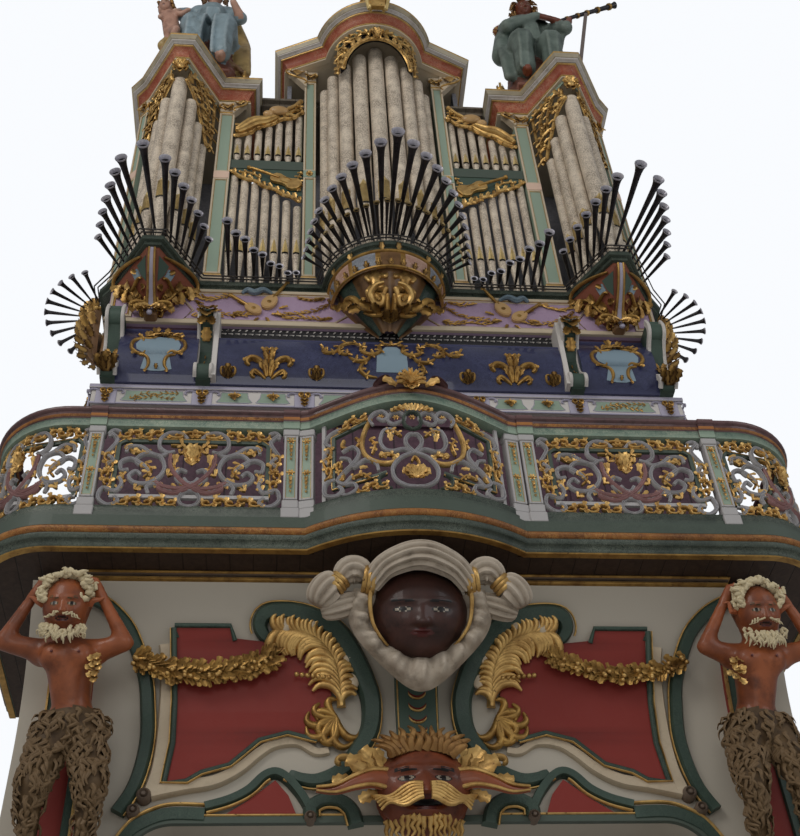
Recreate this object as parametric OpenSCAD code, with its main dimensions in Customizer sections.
// Church pipe organ with horizontal trumpets, on a bowed gallery carried by a painted, coved stage.
// Millimetres. X runs along the front, -Y is the front and Z is up from the ground.

/* [Stage] */
// Height of the coved stage wall
stage_h = 2740; // [2600:10:3200]
// Half the width of the stage
stage_half = 3100; // [2950:10:3150]
// How far the stage wall's foot stands in front of the case front
stage_front = 380; // [300:10:500]
// Radius of the cove under the gallery
cove_r = 2200; // [2000:10:2600]
// Height at which the cove starts to curve forward
cove_start = 1400; // [1200:10:1600]
// Half the span of the flat arch through the stage
arch_half = 2170; // [2100:10:2240]
// Height of the arch's crown
arch_h = 840; // [760:10:850]
// Radius of the arch's haunches
arch_r = 320; // [200:10:450]
// Width of the green band around the arch
band_w = 55; // [30:5:60]
// Thickness of the painted relief on the stage wall
relief_t = 45; // [25:5:70]
// Height of the gilt cornice on top of the stage wall
stage_cornice_h = 80; // [60:5:120]

/* [Gallery] */
// Distance from the case front to the balustrade
gallery_reach = 1170; // [1000:10:1400]
// Half the width of the gallery
gallery_half = 3600; // [3500:10:3800]
// Radius of the gallery's rounded corners
corner_r = 650; // [450:10:750]
// Half the width of the bow in the middle
bow_half = 900; // [750:10:950]
// How far the bow stands out
bow_rise = 270; // [180:10:320]
// Height of the green moulding under the gallery edge
lower_mould_h = 110; // [80:5:140]
// Height of the gilt half-round moulding
gold_mould_h = 70; // [50:5:90]
// Height of the floor's edge above the gilt moulding
floor_edge_h = 110; // [90:5:140]
// Thickness of the floor boards
floor_t = 60; // [40:5:80]
// Thickness of the boards under the gallery
soffit_t = 40; // [25:5:60]
// Height of the balustrade's bottom rail
foot_rail_h = 130; // [90:5:150]
// Height of the balustrade panels and posts
panel_h = 900; // [800:10:1000]
// Height of the handrail moulding
handrail_h = 200; // [140:5:240]
// How far the handrail rises over the bow
handrail_rise = 130; // [60:10:200]
// Thickness of the balustrade panels
panel_t = 50; // [35:5:70]
// Width of a balustrade post
post_w = 120; // [100:5:140]
// Distance from the middle to the inner edge of the inner posts
inner_post_x = 840; // [780:10:880]
// Distance from the middle to the inner edge of the outer posts
outer_post_x = 2660; // [2550:10:2720]

/* [Lower case] */
// Height from the gallery floor to the case's teal band
dado_h = 2500; // [2300:10:2700]
// Height of the teal band
teal_h = 260; // [200:10:320]
// Height of the blue panels
blue_h = 1010; // [900:10:1100]
// Height of the purple frieze
frieze_h = 620; // [560:10:680]
// Height of the toe board's moulding
toe_h = 150; // [120:5:180]
// Half the width of the upper case
case_half = 3180; // [3150:10:3250]
// How much narrower the lower case is on each side
lower_in = 140; // [100:10:200]
// Depth of the case behind its front
case_depth = 1350; // [1200:10:1500]
// Thickness of the case walls
wall_t = 60; // [40:5:80]

/* [Towers and flats] */
// Height from the toe board to the side towers' cornice
side_tower_h = 3920; // [3700:10:4100]
// How much higher than the side towers' cornices the centre tower's stands
centre_rise = 910; // [750:10:1000]
// Height of the cornices
cornice_h = 450; // [380:10:500]
// How far the cornices stand out
cornice_out = 190; // [140:5:220]
// Radius of the round centre tower
centre_r = 660; // [600:10:700]
// Distance from the case side to a side tower's point
apex_in = 570; // [530:10:620]
// Half the width of a pointed side tower
tower_half = 450; // [400:10:470]
// How far a side tower's point stands out
tower_out = 620; // [500:10:680]
// Width of the pilasters beside the centre tower
pilaster_w = 160; // [130:5:180]
// Width of the pilasters beside the side towers
side_pilaster_w = 200; // [160:5:220]
// Half the width of the centre tower's block under its cornice
centre_block = 1220; // [1150:10:1260]
// How far a side tower's block reaches past its inner pilaster's middle
side_block_out = 260; // [220:5:280]
// Distance from the middle to the centre pilasters
centre_pilaster_x = 895; // [860:5:920]
// Distance from a side tower's point to its inner pilaster's middle
side_pilaster_in = 600; // [580:5:620]
// Height from the toe board to the rail between the flats' two storeys
mid_rail_z = 2380; // [2250:10:2500]
// Height of that rail
mid_rail_h = 190; // [140:5:220]

/* [Front pipes] */
// Diameter of the largest centre pipe
centre_pipe_d = 210; // [180:5:215]
// Number of pipes in the centre tower
centre_pipes = 9; // [7:2:9]
// Diameter of a side tower's largest pipe
tower_pipe_d = 200; // [170:5:210]
// Number of pipes on each face of a side tower
tower_pipes = 3; // [2:1:3]
// Diameter of the pipes in the lower flats
flat_pipe_d = 100; // [80:5:105]
// Number of pipes in a flat
flat_pipes = 7; // [5:1:7]

/* [Trumpets] */
// Length of the longest centre trumpet
centre_trumpet_l = 1350; // [1200:10:1450]
// Number of long trumpets on each side of the middle one
centre_trumpets = 12; // [8:1:12]
// Length of the longest side tower trumpet
tower_trumpet_l = 1130; // [1000:10:1200]
// Number of trumpets on each face of a side tower
tower_trumpets = 7; // [5:1:7]
// Length of the longest trumpet in front of the flats
flat_trumpet_l = 700; // [600:10:750]
// Number of trumpets in front of each flat
flat_trumpets = 9; // [6:1:9]
// Length of the trumpets on the case sides
side_trumpet_l = 470; // [400:10:520]
// Number of trumpets on each case side
side_trumpets = 12; // [8:1:12]
// Diameter of a long trumpet's bell
bell_d = 150; // [110:5:160]

/* [Figures] */
// Height of a satyr from hoof to hair
satyr_h = 2350; // [2250:10:2400]
// Height of a seated figure on a side tower
statue_h = 2400; // [2200:10:2600]
// Height of the crest on the centre tower
crest_h = 900; // [700:10:1000]

/* [Hidden] */
$fn = 96;

centre_tower_h = side_tower_h + centre_rise;
apex_x = case_half - apex_in;
side_pilaster_x = apex_x - side_pilaster_in;
side_block = side_pilaster_x - side_block_out;
z_stage = stage_h;
z_lower_mould = z_stage + stage_cornice_h;
z_gold = z_lower_mould + lower_mould_h;
z_edge = z_gold + gold_mould_h;
z_floor = z_edge + floor_edge_h;
z_panel = z_floor + foot_rail_h;
z_rail = z_panel + panel_h;
z_teal = z_floor + dado_h;
z_blue = z_teal + teal_h;
z_frieze = z_blue + blue_h;
z_toe_mould = z_frieze + frieze_h;
z_toe = z_toe_mould + toe_h;
z_mid = z_toe + mid_rail_z;
z_upper = z_mid + mid_rail_h;
z_side_top = z_toe + side_tower_h;
z_centre_top = z_toe + centre_tower_h;
z_side_roof = z_side_top + cornice_h;
z_centre_roof = z_centre_top + cornice_h;

gap = 0.3;
long_z = z_toe + 135;
short_z = z_toe + 50;
root_gap = 30;
root_r = centre_r + root_gap;
front_y = -root_r - centre_trumpet_l;
shift_y = -(front_y + case_depth) / 2;
bow_r = (bow_half * bow_half + bow_rise * bow_rise) / (2 * bow_rise);
bow_y = -gallery_reach - bow_rise + bow_r;
corner_x = gallery_half - corner_r;
corner_y = -gallery_reach + corner_r;
cove_y = -stage_front - cove_r;
cove_top_y = cove_y + sqrt(cove_r * cove_r - pow(z_stage - cove_start, 2));
tower_tip = 70;
tower_turn = atan(tower_out / (tower_half - tower_tip));
tower_miter = tan(tower_turn / 2);
tower_end = apex_x + tower_half;
chamfer = case_half - tower_end;
chamfer_miter = tan(22.5);
plate_half = stage_half - 400;

module seat() translate([0, shift_y, 0]) children();
module both_sides() {
    children();
    mirror([1, 0, 0]) children();
}
module slab(z, h) translate([0, 0, z]) linear_extrude(h) children();
module along_x(half) translate([-half, 0, 0]) rotate([90, 0, 90]) linear_extrude(2 * half) children();
module facing_front(y, depth) translate([0, y, 0]) rotate([90, 0, 0]) linear_extrude(depth) children();
module limb(p, q, rp, rq) hull() {
    translate(p) sphere(rp, $fn = 12);
    translate(q) sphere(rq, $fn = 12);
}

module gallery_plan(out, back) {
    translate([-corner_x, -gallery_reach - out]) square([2 * corner_x, back + gallery_reach + out]);
    translate([-gallery_half - out, corner_y]) square([2 * (gallery_half + out), back - corner_y]);
    both_sides() translate([corner_x, corner_y]) circle(corner_r + out);
    intersection() {
        translate([0, bow_y]) circle(bow_r + out);
        translate([-bow_half - out, -gallery_reach - bow_rise - out - 1])
            square([2 * (bow_half + out), bow_rise + corner_r]);
    }
}
module gallery_band(out, inner, z, h) slab(z, h) difference() {
    gallery_plan(out, case_depth);
    gallery_plan(inner, case_depth + 10);
}
module bow_zone(margin) facing_front(0, 3 * gallery_reach)
    translate([-inner_post_x + margin, 0]) square([2 * (inner_post_x - margin), z_rail + 2 * handrail_h]);

module cove_profile(out) difference() {
    translate([cove_top_y - out - 50, 0]) square([case_depth - cove_top_y + out + 50, z_stage]);
    translate([cove_y - out, cove_start]) circle(cove_r, $fn = 160);
    translate([cove_y - cove_r - out, -1]) square([2 * cove_r, cove_start + 1]);
}
module arch_shape(out) {
    translate([-arch_half - out, -1]) square([2 * (arch_half + out), arch_h - arch_r + 1]);
    translate([-arch_half + arch_r, -1]) square([2 * (arch_half - arch_r), arch_h + out + 1]);
    both_sides() translate([arch_half - arch_r, arch_h - arch_r]) circle(arch_r + out);
}
module cove_relief(thick) intersection() {
    difference() {
        along_x(stage_half) cove_profile(thick);
        along_x(stage_half + 1) cove_profile(0);
    }
    facing_front(0, 2 * gallery_reach) children();
}

module base_vault() color("ivory") difference() {
    along_x(stage_half) cove_profile(0);
    facing_front(case_depth + 1, case_depth + 2 * gallery_reach) arch_shape(0);
}
cornice_lip = 60;
module base_cornice() color("goldenrod") translate([-plate_half, cove_top_y - cornice_lip, z_stage])
    cube([2 * plate_half, case_depth - cove_top_y + cornice_lip, stage_cornice_h]);
module arch_band() color("seagreen") cove_relief(relief_t) difference() {
    arch_shape(band_w);
    arch_shape(0);
    translate([-stage_half, -1]) square([2 * stage_half, 50]);
    translate([-300, 0]) square([600, stage_h]);
}

function unit(v) = v / norm(v);
function beside(v) = [v[1], -v[0]];
function mitre(a, b) = (a + b) / (1 + a * b);
function spread(p, by) = let (n = len(p)) [for (i = [0:n - 1])
    p[i] + by * mitre(beside(unit(p[i] - p[(i + n - 1) % n])), beside(unit(p[(i + 1) % n] - p[i])))];
function edge_line(p, by) = let (n = len(p)) [for (i = [0:n - 1])
    let (a = beside(unit(p[max(i, 1)] - p[max(i, 1) - 1])),
        b = beside(unit(p[min(i, n - 2) + 1] - p[min(i, n - 2)]))) p[i] + by * mitre(a, b)];
function reversed(p) = [for (i = [len(p) - 1:-1:0]) p[i]];
module strip(p, w) polygon(concat(edge_line(p, w / 2), reversed(edge_line(p, -w / 2))));
main_panel = [[1918, 1170], [1880, 1500], [1890, 1850], [1933, 2423], [1500, 2423], [1460, 2330],
    [1150, 2300], [900, 2290], [740, 2130], [680, 1900], [700, 1700], [785, 1539], [1019, 1606],
    [1249, 1539], [1467, 1327], [1673, 1265], [1779, 1194]];
small_panel = [[942, 900], [1478, 900], [1301, 1021], [1106, 1184], [1005, 1060]];
pier_panel = [[2560, 560], [2900, 560], [2900, 2250], [2560, 2250]];
c_scroll = [[1144, 2317], [1242, 2360], [1285, 2446], [1232, 2531], [1086, 2546], [907, 2526], [743, 2471],
    [611, 2379], [496, 2208], [407, 2015], [360, 1831], [379, 1607], [475, 1420], [592, 1266], [774, 1183],
    [911, 1200], [1002, 1250]];
side_scroll = [[2750, 2670], [2550, 2600], [2400, 2500], [2280, 2350], [2160, 2050], [2120, 1800],
    [2100, 1550], [2120, 1300], [2150, 1100], [2200, 920]];
swag = [[2230, 2180], [1950, 2080], [1650, 2060], [1350, 2110], [1130, 2200]];
gilt_leaf = [[590, 1840], [620, 2090], [705, 2280], [840, 2385], [1080, 2415]];
frame_w = 90;
scroll_w = 120;
module red_panels() color("firebrick") both_sides() cove_relief(relief_t) {
    polygon(main_panel);
    polygon(small_panel);
    polygon(pier_panel);
}
module scroll_frames() color("darkgreen") both_sides() cove_relief(relief_t * 1.6) difference() {
    union() {
        polygon(spread(main_panel, frame_w));
        polygon(spread(small_panel, frame_w / 2));
        polygon(spread(pier_panel, frame_w));
        strip(c_scroll, scroll_w);
        strip(side_scroll, scroll_w * 0.75);
    }
    polygon(spread(main_panel, gap));
    polygon(spread(small_panel, gap));
    polygon(spread(pier_panel, gap));
    arch_shape(band_w + gap);
}
spine_top_w = 350;
spine_foot_w = 310;
mask_z = 2250;
foot_mask_z = 1170;
module keystone_spine() color("olivedrab") cove_relief(relief_t * 2.5)
    polygon([[-spine_foot_w / 2, foot_mask_z], [spine_foot_w / 2, foot_mask_z],
        [spine_top_w / 2, z_stage - 1], [-spine_top_w / 2, z_stage - 1]]);

mask_y = cove_top_y - 130;
turban_half = 870;
module turban_mask() color("linen") difference() {
    translate([0, mask_y, 0]) {
        translate([0, 0, mask_z]) scale([0.9, 0.75, 1.15]) sphere(330);
        translate([0, 30, mask_z - 50]) scale([1.12, 0.42, 1]) sphere(500);
        translate([0, 0, mask_z + 350]) scale([1, 0.65, 0.38]) sphere(560);
        both_sides() translate([turban_half - 240, 30, mask_z + 270]) scale([1, 0.75, 0.78]) sphere(240);
    }
    along_x(stage_half) cove_profile(relief_t * 2.5 + gap);
    translate([-stage_half, cove_top_y - cornice_lip - gap, z_stage - gap])
        cube([2 * stage_half, 1000, 1000]);
}
module grotesque_mask() color("sienna") difference() {
    translate([0, -stage_front - relief_t * 2.5, foot_mask_z - 100]) {
        scale([1, 0.7, 1.25]) sphere(240);
        translate([0, 20, -250]) scale([1.5, 0.6, 0.7]) sphere(200);
        both_sides() translate([300, 0, 30]) rotate([90, 0, 0]) cylinder(h = 120, d = 240, center = true);
    }
    along_x(stage_half) cove_profile(relief_t * 2.5 + gap);
}
garland_t = 80;
garland_w = 150;
module garlands() color("goldenrod") both_sides() difference() {
    cove_relief(relief_t * 1.6 + garland_t) {
        strip(swag, garland_w);
        strip(gilt_leaf, garland_w * 0.7);
    }
    along_x(stage_half) cove_profile(relief_t * 1.6 + gap);
}

satyr_x = 2680;
satyr_y = -stage_front - relief_t * 1.6 - 350;
satyr_foot_z = 190;
module satyr_body() {
    u = satyr_h / 2350;
    scale(u) {
        translate([60, -330, 2120]) scale([1, 1, 1.2]) sphere(225, $fn = 16);
        limb([60, -400, 2050], [30, -400, 1800], 120, 50);
        limb([60, -280, 2010], [40, -160, 1850], 110, 170);
        limb([-170, -180, 1780], [210, -180, 1780], 130, 130);
        limb([20, -190, 1740], [-60, -20, 1340], 210, 170);
        limb([-60, -10, 1330], [-60, -10, 1200], 190, 200);
        for (s = [-1, 1]) {
            limb([20 + 230 * s, -200, 1800], [50 + 470 * s, -260, 1830], 95, 75);
            limb([50 + 470 * s, -260, 1830], [60 + 240 * s, -380, 2230], 75, 50);
            limb([-60 + 110 * s, 0, 1200], [-80 + 210 * s, -160, 680], 165, 110);
            limb([-80 + 210 * s, -160, 680], [-60 + 190 * s, 60, 230], 105, 70);
            limb([-60 + 190 * s, 60, 230], [-60 + 190 * s, -20, 60], 65, 60);
        }
    }
    translate([-60, 20, 0]) cylinder(h = 60, r = 330);
}
module satyr_plinth() translate([satyr_x - 400, -stage_front - 560, 0]) cube([800, 560, satyr_foot_z]);
module satyr_left() color("peru") mirror([1, 0, 0]) satyr_right();
module satyr_right() color("peru") {
    translate([satyr_x, satyr_y + 60, satyr_foot_z]) satyr_body();
    satyr_plinth();
}

joist_w = 120;
module gallery_soffit() color("saddlebrown") {
    slab(z_lower_mould, soffit_t) gallery_plan(-60, case_depth);
    for (x = [-2600:1300:2600])
        translate([x - joist_w / 2, -gallery_reach + 100, z_lower_mould + soffit_t])
            cube([joist_w, case_depth + gallery_reach - 100, z_floor - floor_t - z_lower_mould - soffit_t]);
}
module gallery_lower_mould() color("darkgreen") {
    gallery_band(20, -60, z_lower_mould, lower_mould_h / 2);
    gallery_band(50, -60, z_lower_mould + lower_mould_h / 2, lower_mould_h / 2);
}
module gallery_gold_mould() color("orange") {
    gallery_band(62, -60, z_gold, gold_mould_h * 0.2);
    gallery_band(80, -60, z_gold + gold_mould_h * 0.2, gold_mould_h * 0.6);
    gallery_band(62, -60, z_gold + gold_mould_h * 0.8, gold_mould_h * 0.2);
}
module gallery_floor() color("darkolivegreen") {
    slab(z_floor - floor_t, floor_t) gallery_plan(60, case_depth);
    gallery_band(60, -60, z_edge, floor_edge_h - floor_t);
}

post_lip = 12;
post_cap_h = 75;
module post_at(x, y, turn) translate([x, y, 0]) rotate([0, 0, turn]) {
    translate([-post_w / 2, -panel_t, z_panel]) cube([post_w, 2 * panel_t, panel_h]);
    for (z = [z_panel, z_rail - post_cap_h]) translate([-post_w / 2 - post_lip, -panel_t - post_lip, z])
        cube([post_w + 2 * post_lip, 2 * (panel_t + post_lip), post_cap_h]);
}
module balustrade_posts() color("gainsboro") {
    gallery_band(45, -45, z_floor, foot_rail_h);
    both_sides() {
        post_at(inner_post_x + post_w / 2, -gallery_reach, 12);
        post_at(inner_post_x + post_w * 1.7, -gallery_reach, 0);
        post_at(outer_post_x + post_w / 2, -gallery_reach, 0);
        post_at(gallery_half, corner_y + post_w / 2, 90);
        post_at(gallery_half, case_depth - post_w / 2 - 20, 90);
    }
}
module ring(r, w) difference() {
    circle(r);
    circle(r - w);
}
strap = 32;
module strapwork(w, h, places) {
    difference() {
        translate([-w / 2, 0]) square([w, h]);
        translate([-w / 2 + strap, strap]) square([w - 2 * strap, h - 2 * strap]);
    }
    intersection() {
        translate([-w / 2 + strap / 2, strap / 2]) square([w - strap, h - strap]);
        for (x = places) translate([w * x, h / 2]) ring(h * 0.475, strap);
    }
}
bay_from = inner_post_x + post_w * 2.2 + post_lip + gap;
bay_to = outer_post_x - post_lip - gap;
bay_w = bay_to - bay_from;
bay_x = (bay_from + bay_to) / 2;
module bay_panel() translate([bay_x, -gallery_reach + panel_t / 2, z_panel]) rotate([90, 0, 0])
    linear_extrude(panel_t) strapwork(bay_w, panel_h, [-0.4, -0.2, 0, 0.2, 0.4]);
module balustrade_right() color("silver") bay_panel();
module balustrade_left() color("silver") mirror([1, 0, 0]) bay_panel();
module balustrade_centre() color("silver") intersection() {
    gallery_band(panel_t / 2, -panel_t / 2, z_panel, panel_h + handrail_rise);
    facing_front(0, 2 * gallery_reach) {
        translate([0, z_panel]) strapwork(2 * (inner_post_x - 30), panel_h - gap, [-0.38, -0.14, 0.14, 0.38]);
        intersection() {
            translate([0, z_rail + handrail_rise - rail_r]) circle(rail_r - gap, $fn = 360);
            translate([-inner_post_x + 100, z_rail - strap]) square([2 * (inner_post_x - 100), panel_h]);
        }
    }
}
corner_from = outer_post_x + post_w + post_lip + gap;
corner_span = [(corner_from - corner_x - corner_r) * sin(45), corner_r * sin(45)];
side_from = corner_y + post_w + post_lip + gap;
side_to = case_depth - 20 - post_w - post_lip - gap;
module balustrade_ends() color("silver") both_sides() {
    intersection() {
        gallery_band(panel_t / 2, -panel_t / 2, z_panel, panel_h);
        translate([corner_from, -2 * gallery_reach, 0])
            cube([gallery_half, corner_y + 2 * gallery_reach - post_lip - gap, z_rail]);
        translate([corner_x, corner_y, 0]) rotate([0, 0, 45]) rotate([90, 0, 0]) linear_extrude(2 * corner_r)
            translate([(corner_span[0] + corner_span[1]) / 2, z_panel])
                strapwork(corner_span[1] - corner_span[0], panel_h, [-0.5, 0, 0.5]);
    }
    translate([gallery_half - panel_t / 2, (side_from + side_to) / 2, z_panel]) rotate([90, 0, 90])
        linear_extrude(panel_t) strapwork(side_to - side_from, panel_h, [-0.4, -0.2, 0, 0.2, 0.4]);
}
rail_r = (inner_post_x * inner_post_x + handrail_rise * handrail_rise) / (2 * handrail_rise);
rail_lap = 8;
module handrail_part(out, low, high) {
    difference() {
        gallery_band(out, -out, z_rail + low, high - low);
        bow_zone(rail_lap);
    }
    intersection() {
        gallery_band(out, -out, z_rail, handrail_rise + handrail_h);
        facing_front(0, 3 * gallery_reach) intersection() {
            translate([-inner_post_x - rail_lap, z_rail + low])
                square([2 * (inner_post_x + rail_lap), handrail_rise + high]);
            translate([0, z_rail + handrail_rise - rail_r]) difference() {
                circle(rail_r + high, $fn = 360);
                circle(rail_r + low, $fn = 360);
            }
        }
    }
}
module handrail() color("sienna") {
    handrail_part(50, 0, handrail_h * 0.4);
    handrail_part(75, handrail_h * 0.4, handrail_h * 0.75);
    handrail_part(95, handrail_h * 0.75, handrail_h);
}
shell_r = 210;
volute_x = 350;
volute_r = 70;
rail_centre_z = z_rail + handrail_rise - rail_r;
rail_top_z = rail_centre_z + sqrt(pow(rail_r + handrail_h, 2) - pow(volute_x + volute_r, 2));
module rail_shell() color("gold") {
    facing_front(-gallery_reach - bow_rise - 95 - gap, 70) intersection() {
        translate([0, z_rail + handrail_rise + handrail_h * 0.5]) circle(shell_r);
        translate([-shell_r, z_rail + handrail_rise + 10]) square([2 * shell_r, 2 * shell_r]);
    }
    both_sides() difference() {
        facing_front(-gallery_reach - bow_rise + 100, 140)
            translate([volute_x, rail_top_z + volute_r * 0.7]) circle(volute_r);
        facing_front(0, 2 * gallery_reach) translate([0, z_rail + handrail_rise - rail_r])
            circle(rail_r + handrail_h + gap, $fn = 360);
    }
}

module case_wall(z, h, half) {
    translate([-half, 0, z]) cube([2 * half, wall_t, h]);
    both_sides() translate([half - wall_t, wall_t, z]) cube([wall_t, case_depth - wall_t, h]);
}
lower_half = case_half - lower_in;
niche_half = 620;
module lower_case() color("rosybrown") {
    difference() {
        case_wall(z_floor, z_toe_mould - z_floor, lower_half);
        for (x = [-2350, -1350, 1350, 2350])
            translate([x - 380, -1, z_floor + 300]) cube([760, 26, dado_h - 600]);
        translate([-niche_half, -1, z_floor + 120]) cube([2 * niche_half, 41, dado_h - 300]);
    }
}
module wrap_band(out, z, h, half) difference() {
    translate([-half - out, -out, z]) cube([2 * (half + out), case_depth + out, h]);
    translate([-half, 0, z - 1]) cube([2 * half, case_depth + 1, h + 2]);
}
module case_band() color("lightseagreen") {
    wrap_band(60, z_teal, teal_h, lower_half);
    wrap_band(85, z_teal + teal_h - 50, 50, lower_half);
}
bombe_r = 700;
bombe_out = 230;
module bombe(from, to) translate([from, 0, 0]) rotate([90, 0, 90]) linear_extrude(to - from)
    intersection() {
        translate([-260, z_blue]) square([260, blue_h - 40]);
        translate([bombe_r - bombe_out, z_blue + blue_h * 0.38]) circle(bombe_r);
    }
bracket_w = 150;
inner_bracket_x = 1975;
bracket_x = [inner_bracket_x, lower_half - bracket_w / 2 - 15];
module blue_panels() color("midnightblue") {
    bombe(-bracket_x[0] + bracket_w / 2, bracket_x[0] - bracket_w / 2);
    both_sides() bombe(bracket_x[0] + bracket_w / 2, bracket_x[1] - bracket_w / 2);
}
module bracket_profile() {
    polygon([[0, z_blue], [-180, z_blue], [-120, z_blue + 300], [-110, z_blue + 500], [-260, z_blue + 760],
        [-290, z_frieze], [0, z_frieze]]);
    translate([-150, z_blue + 110]) circle(110);
    translate([-210, z_frieze - 140]) circle(130);
}
module console_brackets() color("darkslategray") both_sides() for (x = bracket_x)
    translate([x - bracket_w / 2 + gap, 0, 0]) rotate([90, 0, 90]) linear_extrude(bracket_w - 2 * gap)
        intersection() {
            bracket_profile();
            translate([-340, z_blue]) square([340, blue_h]);
        }
module frieze() color("thistle") {
    wrap_band(50, z_frieze, frieze_h, lower_half);
    wrap_band(80, z_frieze, 60, lower_half);
}

function tower_plan(o, inner) = [[inner, case_depth], [inner, -o],
    [apex_x - tower_half - o * tower_miter, -o], [apex_x - tower_tip - o * tower_miter, -tower_out - o],
    [apex_x + tower_tip + o * tower_miter, -tower_out - o], [tower_end + o * tower_miter, -o],
    [tower_end + max(o * tower_miter, o * chamfer_miter) + 1, -o],
    [case_half + o, chamfer - o * chamfer_miter], [case_half + o, case_depth]];
module toe_plan(o) {
    both_sides() polygon(tower_plan(o, -20));
    circle(centre_r + o);
}
toe_layers = [[0, 0.35, 40], [0.35, 0.4, 80], [0.75, 0.25, 55]];
flat_from = centre_pilaster_x + pilaster_w / 2;
flat_to = side_pilaster_x - side_pilaster_w / 2 - gap;
module toe_boards() color("seagreen") {
    for (l = toe_layers) slab(z_toe_mould + toe_h * l[0], toe_h * l[1]) toe_plan(l[2]);
    both_sides() translate([flat_from + gap, -20, z_mid]) cube([flat_to - flat_from - gap, 200, mid_rail_h]);
}

corbel_h = 760;
module dome_profile(r, h) polygon(concat([[0, 0], [0, -h]],
    [for (a = [80:-10:0]) [r * (0.12 + 0.88 * cos(a)), -h * sin(a)]]));
module half_dome(r, h) rotate_extrude($fn = 96) dome_profile(r, h);
module corbel_centre() color("goldenrod") difference() {
    translate([0, -51, z_toe_mould]) half_dome(centre_r, corbel_h);
    translate([-centre_r, -50 - gap, z_toe_mould - 2 * corbel_h])
        cube([2 * centre_r, 2 * centre_r, 3 * corbel_h]);
    translate([-centre_r, -80 - gap, z_frieze - corbel_h])
        cube([2 * centre_r, centre_r, corbel_h + 60 + gap]);
}
side_corbel_r = 300;
side_corbel_y = 600;
side_corbel_h = 700;
module corbels_side() color("darkgoldenrod") both_sides() {
    hull() {
        slab(z_toe_mould - 40, 40) polygon([[apex_x - tower_half, -51], [apex_x - tower_tip, -tower_out],
            [apex_x + tower_tip, -tower_out], [tower_end, -51]]);
        slab(z_frieze + 100, 20) polygon([[apex_x - 60, -51], [apex_x - 60, -110], [apex_x + 60, -110],
            [apex_x + 60, -51]]);
    }
    intersection() {
        translate([case_half, side_corbel_y, z_toe]) half_dome(side_corbel_r, side_corbel_h);
        translate([case_half + 80 + gap, 0, z_toe - side_corbel_h])
            cube([side_corbel_r, case_depth, side_corbel_h]);
    }
    translate([case_half - 60, side_corbel_y - 120, z_frieze + 60]) cube([100, 240, frieze_h - 80]);
}

module pilaster(x, w, top, back) {
    translate([x - w / 2, -30, z_toe]) cube([w, 30 + back, top - z_toe]);
    translate([x - w / 2 - 25, -55, z_toe]) cube([w + 50, 55 + back, 160]);
    translate([x - w / 2 - 30, -60, top - 260]) cube([w + 60, 60 + back, 260]);
}
pilaster_back = 100;
module pilasters() color("aquamarine") both_sides() {
    pilaster(centre_pilaster_x, pilaster_w, z_centre_top, pilaster_back);
    translate([centre_pilaster_x + 60, -20, z_centre_top - 330])
        cube([centre_block - centre_pilaster_x - 60, 20 + pilaster_back, 330]);
    pilaster(side_pilaster_x, side_pilaster_w, z_side_top, pilaster_back);
    translate([side_block, -20, z_side_top - 260])
        cube([side_pilaster_x - side_block - 60, 20 + pilaster_back, 260]);
    translate([(tower_end + case_half) / 2, chamfer / 2, 0]) rotate([0, 0, 45])
        pilaster(0, chamfer * 1.2, z_side_top, 60);
    translate([case_half, case_depth - side_pilaster_w / 2 - 30, 0]) rotate([0, 0, 90])
        pilaster(0, side_pilaster_w, z_side_top, -gap);
}
side_wall_from = chamfer + 130;
roof_half = side_block - cornice_out - gap;
module case_walls() color("tan") {
    translate([-lower_half + wall_t, case_depth - wall_t, z_floor])
        cube([2 * (lower_half - wall_t), wall_t, z_toe_mould - z_floor]);
    translate([-case_half, case_depth - wall_t, z_toe]) cube([2 * case_half, wall_t, side_tower_h]);
    translate([-roof_half, case_depth - wall_t, z_side_top])
        cube([2 * roof_half, wall_t, cornice_h - roof_t]);
    both_sides() translate([case_half - wall_t, side_wall_from, z_toe])
        cube([wall_t, case_depth - side_wall_from, side_tower_h]);
    translate([-centre_block, case_depth - wall_t, z_side_roof])
        cube([2 * centre_block, wall_t, z_centre_top - z_side_roof]);
    both_sides() translate([centre_block - wall_t, roof_y, z_side_roof])
        cube([wall_t, case_depth - roof_y, z_centre_top - z_side_roof]);
}
roof_y = 180;
roof_t = 120;
module case_roof() color("dimgray") {
    translate([-roof_half, roof_y, z_side_roof - roof_t]) cube([2 * roof_half, case_depth - roof_y, roof_t]);
    translate([-roof_half, roof_y - 60, z_side_roof - roof_t * 0.4]) cube([2 * roof_half, 60, roof_t * 0.4]);
}
cornice_layers = [[0, 0.14, 40], [0.14, 0.2, 20], [0.34, 0.28, 5], [0.62, 0.1, 80],
    [0.72, 0.14, 150], [0.86, 0.14, 190]];
centre_top_y = -120;
module centre_plan(o, back) {
    translate([-centre_block - o, -o]) square([2 * (centre_block + o), back + o]);
    translate([0, centre_top_y]) circle(centre_r + o);
}
module cornices() color("rosybrown") for (l = cornice_layers) {
    out = l[2] * cornice_out / 190;
    both_sides() slab(z_side_top + cornice_h * l[0], cornice_h * l[1])
        polygon(tower_plan(out, side_block - out));
    slab(z_centre_top + cornice_h * l[0], cornice_h * l[1]) centre_plan(out, case_depth);
}

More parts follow.
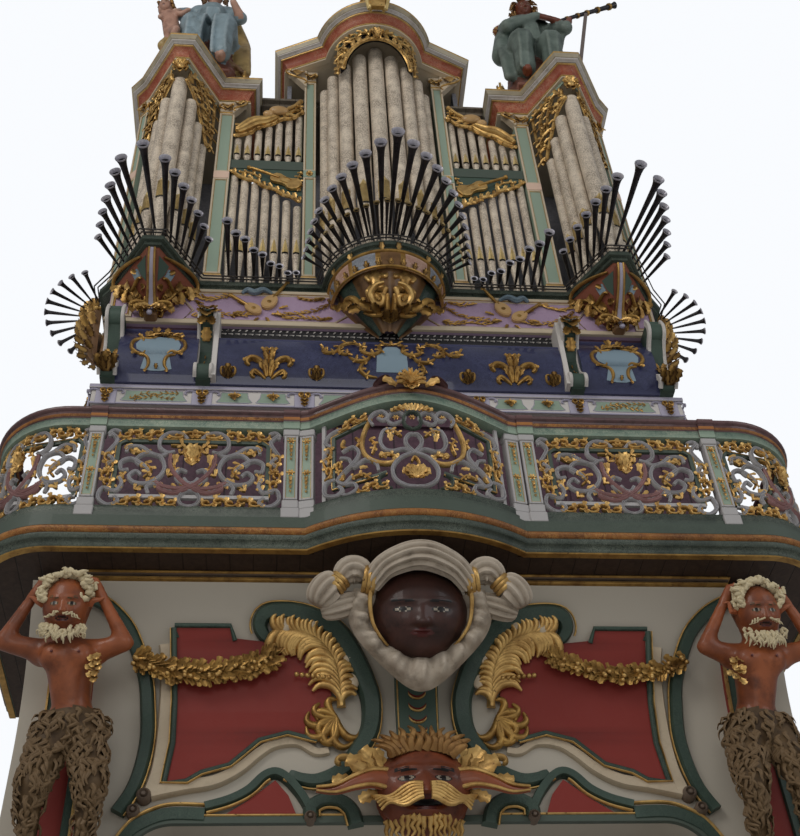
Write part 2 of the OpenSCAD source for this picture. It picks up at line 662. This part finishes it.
module flue(x, y, d, foot, top) translate([x, y, z_toe]) {
    cylinder(h = foot, d1 = d * 0.3, d2 = d, $fn = 32);
    translate([0, 0, foot]) cylinder(h = top - foot, d = d, $fn = 32);
}
centre_arc = 72;
centre_pipe_a = 720;
centre_pipe_b = 470;
centre_pipe_y = 60;
module pipes_centre() color("lightgray") {
    n = (centre_pipes - 1) / 2;
    for (k = [-n:n]) {
        turn = k * centre_arc / n;
        d = centre_pipe_d * (1 - 0.27 * abs(k) / n);
        flue(centre_pipe_a * sin(turn), centre_pipe_y - centre_pipe_b * cos(turn), d, 1110 - 200 * abs(k) / n,
            centre_tower_h - 60 - 600 * abs(k) / n);
    }
}
function tower_d(k) = tower_pipe_d * (1 - 0.11 * k);
function tower_s(k) = k == 0 ? 0 : k == 1 ? 150 : tower_s(k - 1) + (tower_d(k - 1) + tower_d(k)) / 2 + 4;
tower_pipe_in = tower_pipe_d * 0.55;
tower_pipe_y = -tower_out + tower_pipe_in;
tower_u = [cos(tower_turn), sin(tower_turn)];
tower_foot = 850;
tower_pipe_gap = 360;
module pipes_tower() color("lightgray") both_sides() {
    flue(apex_x, tower_pipe_y, tower_pipe_d, tower_foot, side_tower_h - tower_pipe_gap);
    for (side = [-1, 1]) for (k = [1:tower_pipes])
        flue(apex_x + side * (tower_tip + tower_s(k) * tower_u[0]), tower_pipe_y + tower_s(k) * tower_u[1],
            tower_d(k), tower_foot - 70 * k, side_tower_h - tower_pipe_gap - 300 * k);
}
flat_pitch = (flat_to - flat_from) / flat_pipes;
flat_gap = 60;
flat_climb = 720;
upper_flat_gap = 160;
upper_flat_climb = 660;
module pipes_flat() color("lightgray") both_sides() for (k = [0:flat_pipes - 1]) {
    part = k / (flat_pipes - 1);
    x = flat_from + (k + 0.5) * flat_pitch;
    flue(x, 40, flat_pipe_d, 640, mid_rail_z - flat_gap - flat_climb * (1 - part));
    translate([0, 0, z_upper - z_toe])
        flue(x, 40, flat_pipe_d * 0.95, 160, z_side_top - z_upper - upper_flat_gap - upper_flat_climb * part);
}
shade_t = 35;
tower_shade_out = tower_d(1) / 2 - tower_pipe_in * tower_u[0] + 1.5;
module shade_band() difference() {
    translate([0, centre_top_y]) circle(centre_r - 20);
    translate([0, centre_top_y]) circle(centre_r - 20 - shade_t);
    translate([-2 * centre_r, -40]) square([4 * centre_r, 2 * centre_r]);
}
module pipe_shades() color("gold") {
    intersection() {
        slab(z_centre_top - 760, 760) shade_band();
        facing_front(0, 2 * centre_r) difference() {
            union() {
                translate([-495, z_centre_top - 760]) square([990, 760 - gap]);
                translate([-centre_r, z_centre_top - 480]) square([2 * centre_r, 480 - gap]);
            }
            translate([0, z_centre_top - 760]) circle(470);
        }
    }
    both_sides() {
        for (side = [0, 1]) translate([apex_x, 0, 0]) mirror([side, 0, 0])
            translate([tower_tip, -tower_out, 0]) rotate([0, 0, tower_turn])
            facing_front(-tower_shade_out, shade_t)
                polygon([[30, z_side_top - gap], [30, z_side_top - 420], [330, z_side_top - 720],
                    [600, z_side_top - 1250], [670, z_side_top - 1250], [670, z_side_top - gap]]);
        facing_front(-15, shade_t) {
            polygon([[flat_from + gap, z_mid - gap], [flat_from + gap, z_mid - 720], [flat_to, z_mid - 60],
                [flat_to, z_mid - gap]]);
            polygon([[flat_from + gap, z_upper + 1300], [flat_from + gap, z_upper + 1180],
                [flat_to, z_upper + 480], [flat_to, z_upper + 820], [1500, z_upper + 1250]]);
        }
    }
}

module trumpet(l, d, z) translate([0, 0, z]) rotate([90, 0, 0]) {
    cylinder(h = l * 0.9, d1 = d * 0.22, d2 = d * 0.52, $fn = 24);
    translate([0, 0, l * 0.9]) cylinder(h = l * 0.1, d1 = d * 0.52, d2 = d, $fn = 24);
}
module boot(d, z) translate([0, 0, z_toe]) cylinder(h = z - z_toe, d = d, $fn = 16);
fan = 78;
fan_lean = 0.7;
module trumpets_centre() color("dimgray") {
    for (k = [-centre_trumpets:centre_trumpets]) {
        part = abs(k) / centre_trumpets;
        turn = fan * k / centre_trumpets;
        l = 350 + (centre_trumpet_l - 350) * pow(1 - part, 1.6);
        translate([root_r * sin(turn), -root_r * cos(turn), 0]) rotate([0, 0, fan_lean * turn]) {
            trumpet(l, bell_d * (1 - 0.45 * part), long_z);
            boot(26, long_z);
        }
    }
    for (k = [0.5 - centre_trumpets + 2:centre_trumpets - 2]) {
        part = abs(k) / centre_trumpets;
        turn = fan * k / centre_trumpets;
        translate([root_r * sin(turn), -root_r * cos(turn), 0]) rotate([0, 0, fan_lean * turn]) {
            trumpet(550 - 300 * part, 80 - 25 * part, short_z);
            boot(20, short_z);
        }
    }
}
root_out = 28;
module tower_trumpet(side, k, l, lean) {
    s = k * (tower_edge - 60) / tower_trumpets;
    translate([apex_x + side * (tower_tip * 0.5 + s * tower_u[0] + root_out * tower_u[1]),
        -tower_out + s * tower_u[1] - root_out * tower_u[0], 0])
        rotate([0, 0, lean]) {
            trumpet(l, bell_d * (0.95 - 0.04 * k), long_z);
            boot(26, long_z);
        }
}
tower_edge = sqrt(pow(tower_half - tower_tip, 2) + tower_out * tower_out);
module trumpets_tower() color("dimgray") both_sides() {
    tower_trumpet(0, 0, tower_trumpet_l, 3);
    for (k = [1:tower_trumpets]) {
        l = tower_trumpet_l - (tower_trumpet_l - 520) * k / tower_trumpets;
        tower_trumpet(-1, k, l, -3 * k);
        tower_trumpet(1, k, l, 8 + 2.6 * k);
    }
}
flat_trumpet_from = side_pilaster_x - side_pilaster_w / 2 - 100;
flat_trumpet_pitch = (flat_trumpet_from - flat_from - 60) / (flat_trumpets - 1);
module trumpets_flat() color("dimgray") both_sides() for (k = [0:flat_trumpets - 1]) {
    part = k / (flat_trumpets - 1);
    z = long_z - 20 - 50 * (k % 2);
    translate([flat_trumpet_from - k * flat_trumpet_pitch, -30, 0]) {
        trumpet(flat_trumpet_l * pow(1 - part, 1.5) + 100, flat_trumpet_pitch * (1.3 - 0.35 * part), z);
        boot(22, z);
    }
}
module trumpets_side() color("dimgray") both_sides() for (k = [0:side_trumpets - 1]) {
    turn = -75 + 150 * k / (side_trumpets - 1);
    translate([case_half + 60, side_corbel_y, 0]) rotate([0, 0, turn]) translate([side_corbel_r - 60, 0, 0])
        rotate([0, 0, 90]) {
            trumpet(side_trumpet_l, 85, short_z);
            boot(22, short_z);
        }
}
module rack(o) difference() {
    toe_plan(o);
    toe_plan(o - 12);
    translate([-2 * case_half, 300]) square([4 * case_half, case_depth]);
}
module trumpet_racks() color("black") {
    for (o = [110, 150]) slab(z_toe - 20, 14) rack(o);
    both_sides() for (x = [centre_block, side_block, apex_x])
        translate([x - 8, (x == apex_x ? -tower_out : 0) - 150, z_toe - 34]) cube([16, 95 - gap, 14]);
}

module above_ground() intersection() {
    children();
    translate([-2000, -2000, 0]) cube(4000);
}
// One unit of a figure is a millimetre at its drawn height
module figure_space(hand) {
    translate([hand * (apex_x - statue_in), statue_y, z_side_roof]) scale(statue_h / 2400) children();
}
module seated_figure() {
    above_ground() {
        limb([0, -230, 2110], [0, -230, 2230], 165, 165);
        limb([0, -120, 1790], [0, 30, 1000], 300, 370);
        limb([-180, -60, 880], [-210, -420, 800], 280, 240);
        limb([180, -60, 880], [210, -420, 800], 280, 240);
        limb([-210, -430, 770], [-200, -330, 200], 200, 200);
        limb([210, -430, 770], [200, -330, 200], 200, 200);
        limb([0, 100, 740], [0, 120, 230], 400, 440);
        limb([-370, -60, 1770], [-470, -330, 1290], 125, 105);
    }
    translate([-330, -230, 0]) cube([660, 710, 60]);
}
statue_in = 265;
statue_y = -60;
module statue_left() color("lightsteelblue") figure_space(-1) {
    seated_figure();
    above_ground() {
        limb([-560, -335, 1180], [-500, -285, 730], 150, 170);
        limb([-520, -250, 700], [-600, -150, 120], 115, 100);
    }
    limb([-655, -335, 1410], [-655, -335, 1450], 135, 135);
    limb([-560, -335, 1180], [-630, -335, 1330], 110, 90);
}
module statue_right() color("darkseagreen") figure_space(1) {
    seated_figure();
    limb([330, -150, 1780], [560, -330, 1520], 125, 100);
    limb([560, -330, 1520], [640, -335, 1790], 95, 70);
    limb([120, -270, 1660], [440, -335, 1670], 110, 70);
    limb([425, -335, 1680], [1435, -335, 2330], 35, 55);
    above_ground() limb([535, -185, 0], [925, -335, 2000], 32, 30);
}
module crest() color("goldenrod") {
    translate([0, centre_top_y - centre_r + 60, z_centre_roof]) {
        translate([-260, -120, 0]) cube([520, 300, 90]);
        translate([0, 40, 330]) rotate([90, 0, 0]) cylinder(h = 120, r = 240);
        translate([0, 40, crest_h - 190]) rotate([90, 0, 0]) cylinder(h = 120, r = 190);
        translate([-90, -80, 90]) cube([180, 120, crest_h - 190]);
        translate([-170, 0, 0]) rotate([90, 0, 90]) linear_extrude(340)
            polygon([[-100, 0], [-100, 190], [-330, 190], [-400, 80], [-440, -100], [-420, -330], [-330, -450],
                [-270, -450], [-270, 0]]);
    }
    both_sides() {
        translate([centre_block - 200, -60, z_centre_roof]) cylinder(h = 420, d1 = 220, d2 = 60);
        for (spot = [[side_block + 60, -80], [tower_end + 100, -15]])
            translate([spot[0], spot[1], z_side_roof]) cylinder(h = 400, d1 = 150, d2 = 50);
    }
}

seat() base_vault();
seat() base_cornice();
seat() arch_band();
seat() red_panels();
seat() scroll_frames();
seat() keystone_spine();
seat() turban_mask();
seat() grotesque_mask();
seat() garlands();
seat() satyr_left();
seat() satyr_right();
seat() gallery_soffit();
seat() gallery_lower_mould();
seat() gallery_gold_mould();
seat() gallery_floor();
seat() balustrade_posts();
seat() balustrade_centre();
seat() balustrade_left();
seat() balustrade_right();
seat() balustrade_ends();
seat() handrail();
seat() rail_shell();
seat() lower_case();
seat() case_band();
seat() blue_panels();
seat() console_brackets();
seat() frieze();
seat() toe_boards();
seat() corbel_centre();
seat() corbels_side();
seat() pilasters();
seat() case_walls();
seat() case_roof();
seat() cornices();
seat() pipe_shades();
seat() pipes_centre();
seat() pipes_tower();
seat() pipes_flat();
seat() trumpets_centre();
seat() trumpets_tower();
seat() trumpets_flat();
seat() trumpets_side();
seat() trumpet_racks();
seat() statue_left();
seat() statue_right();
seat() crest();
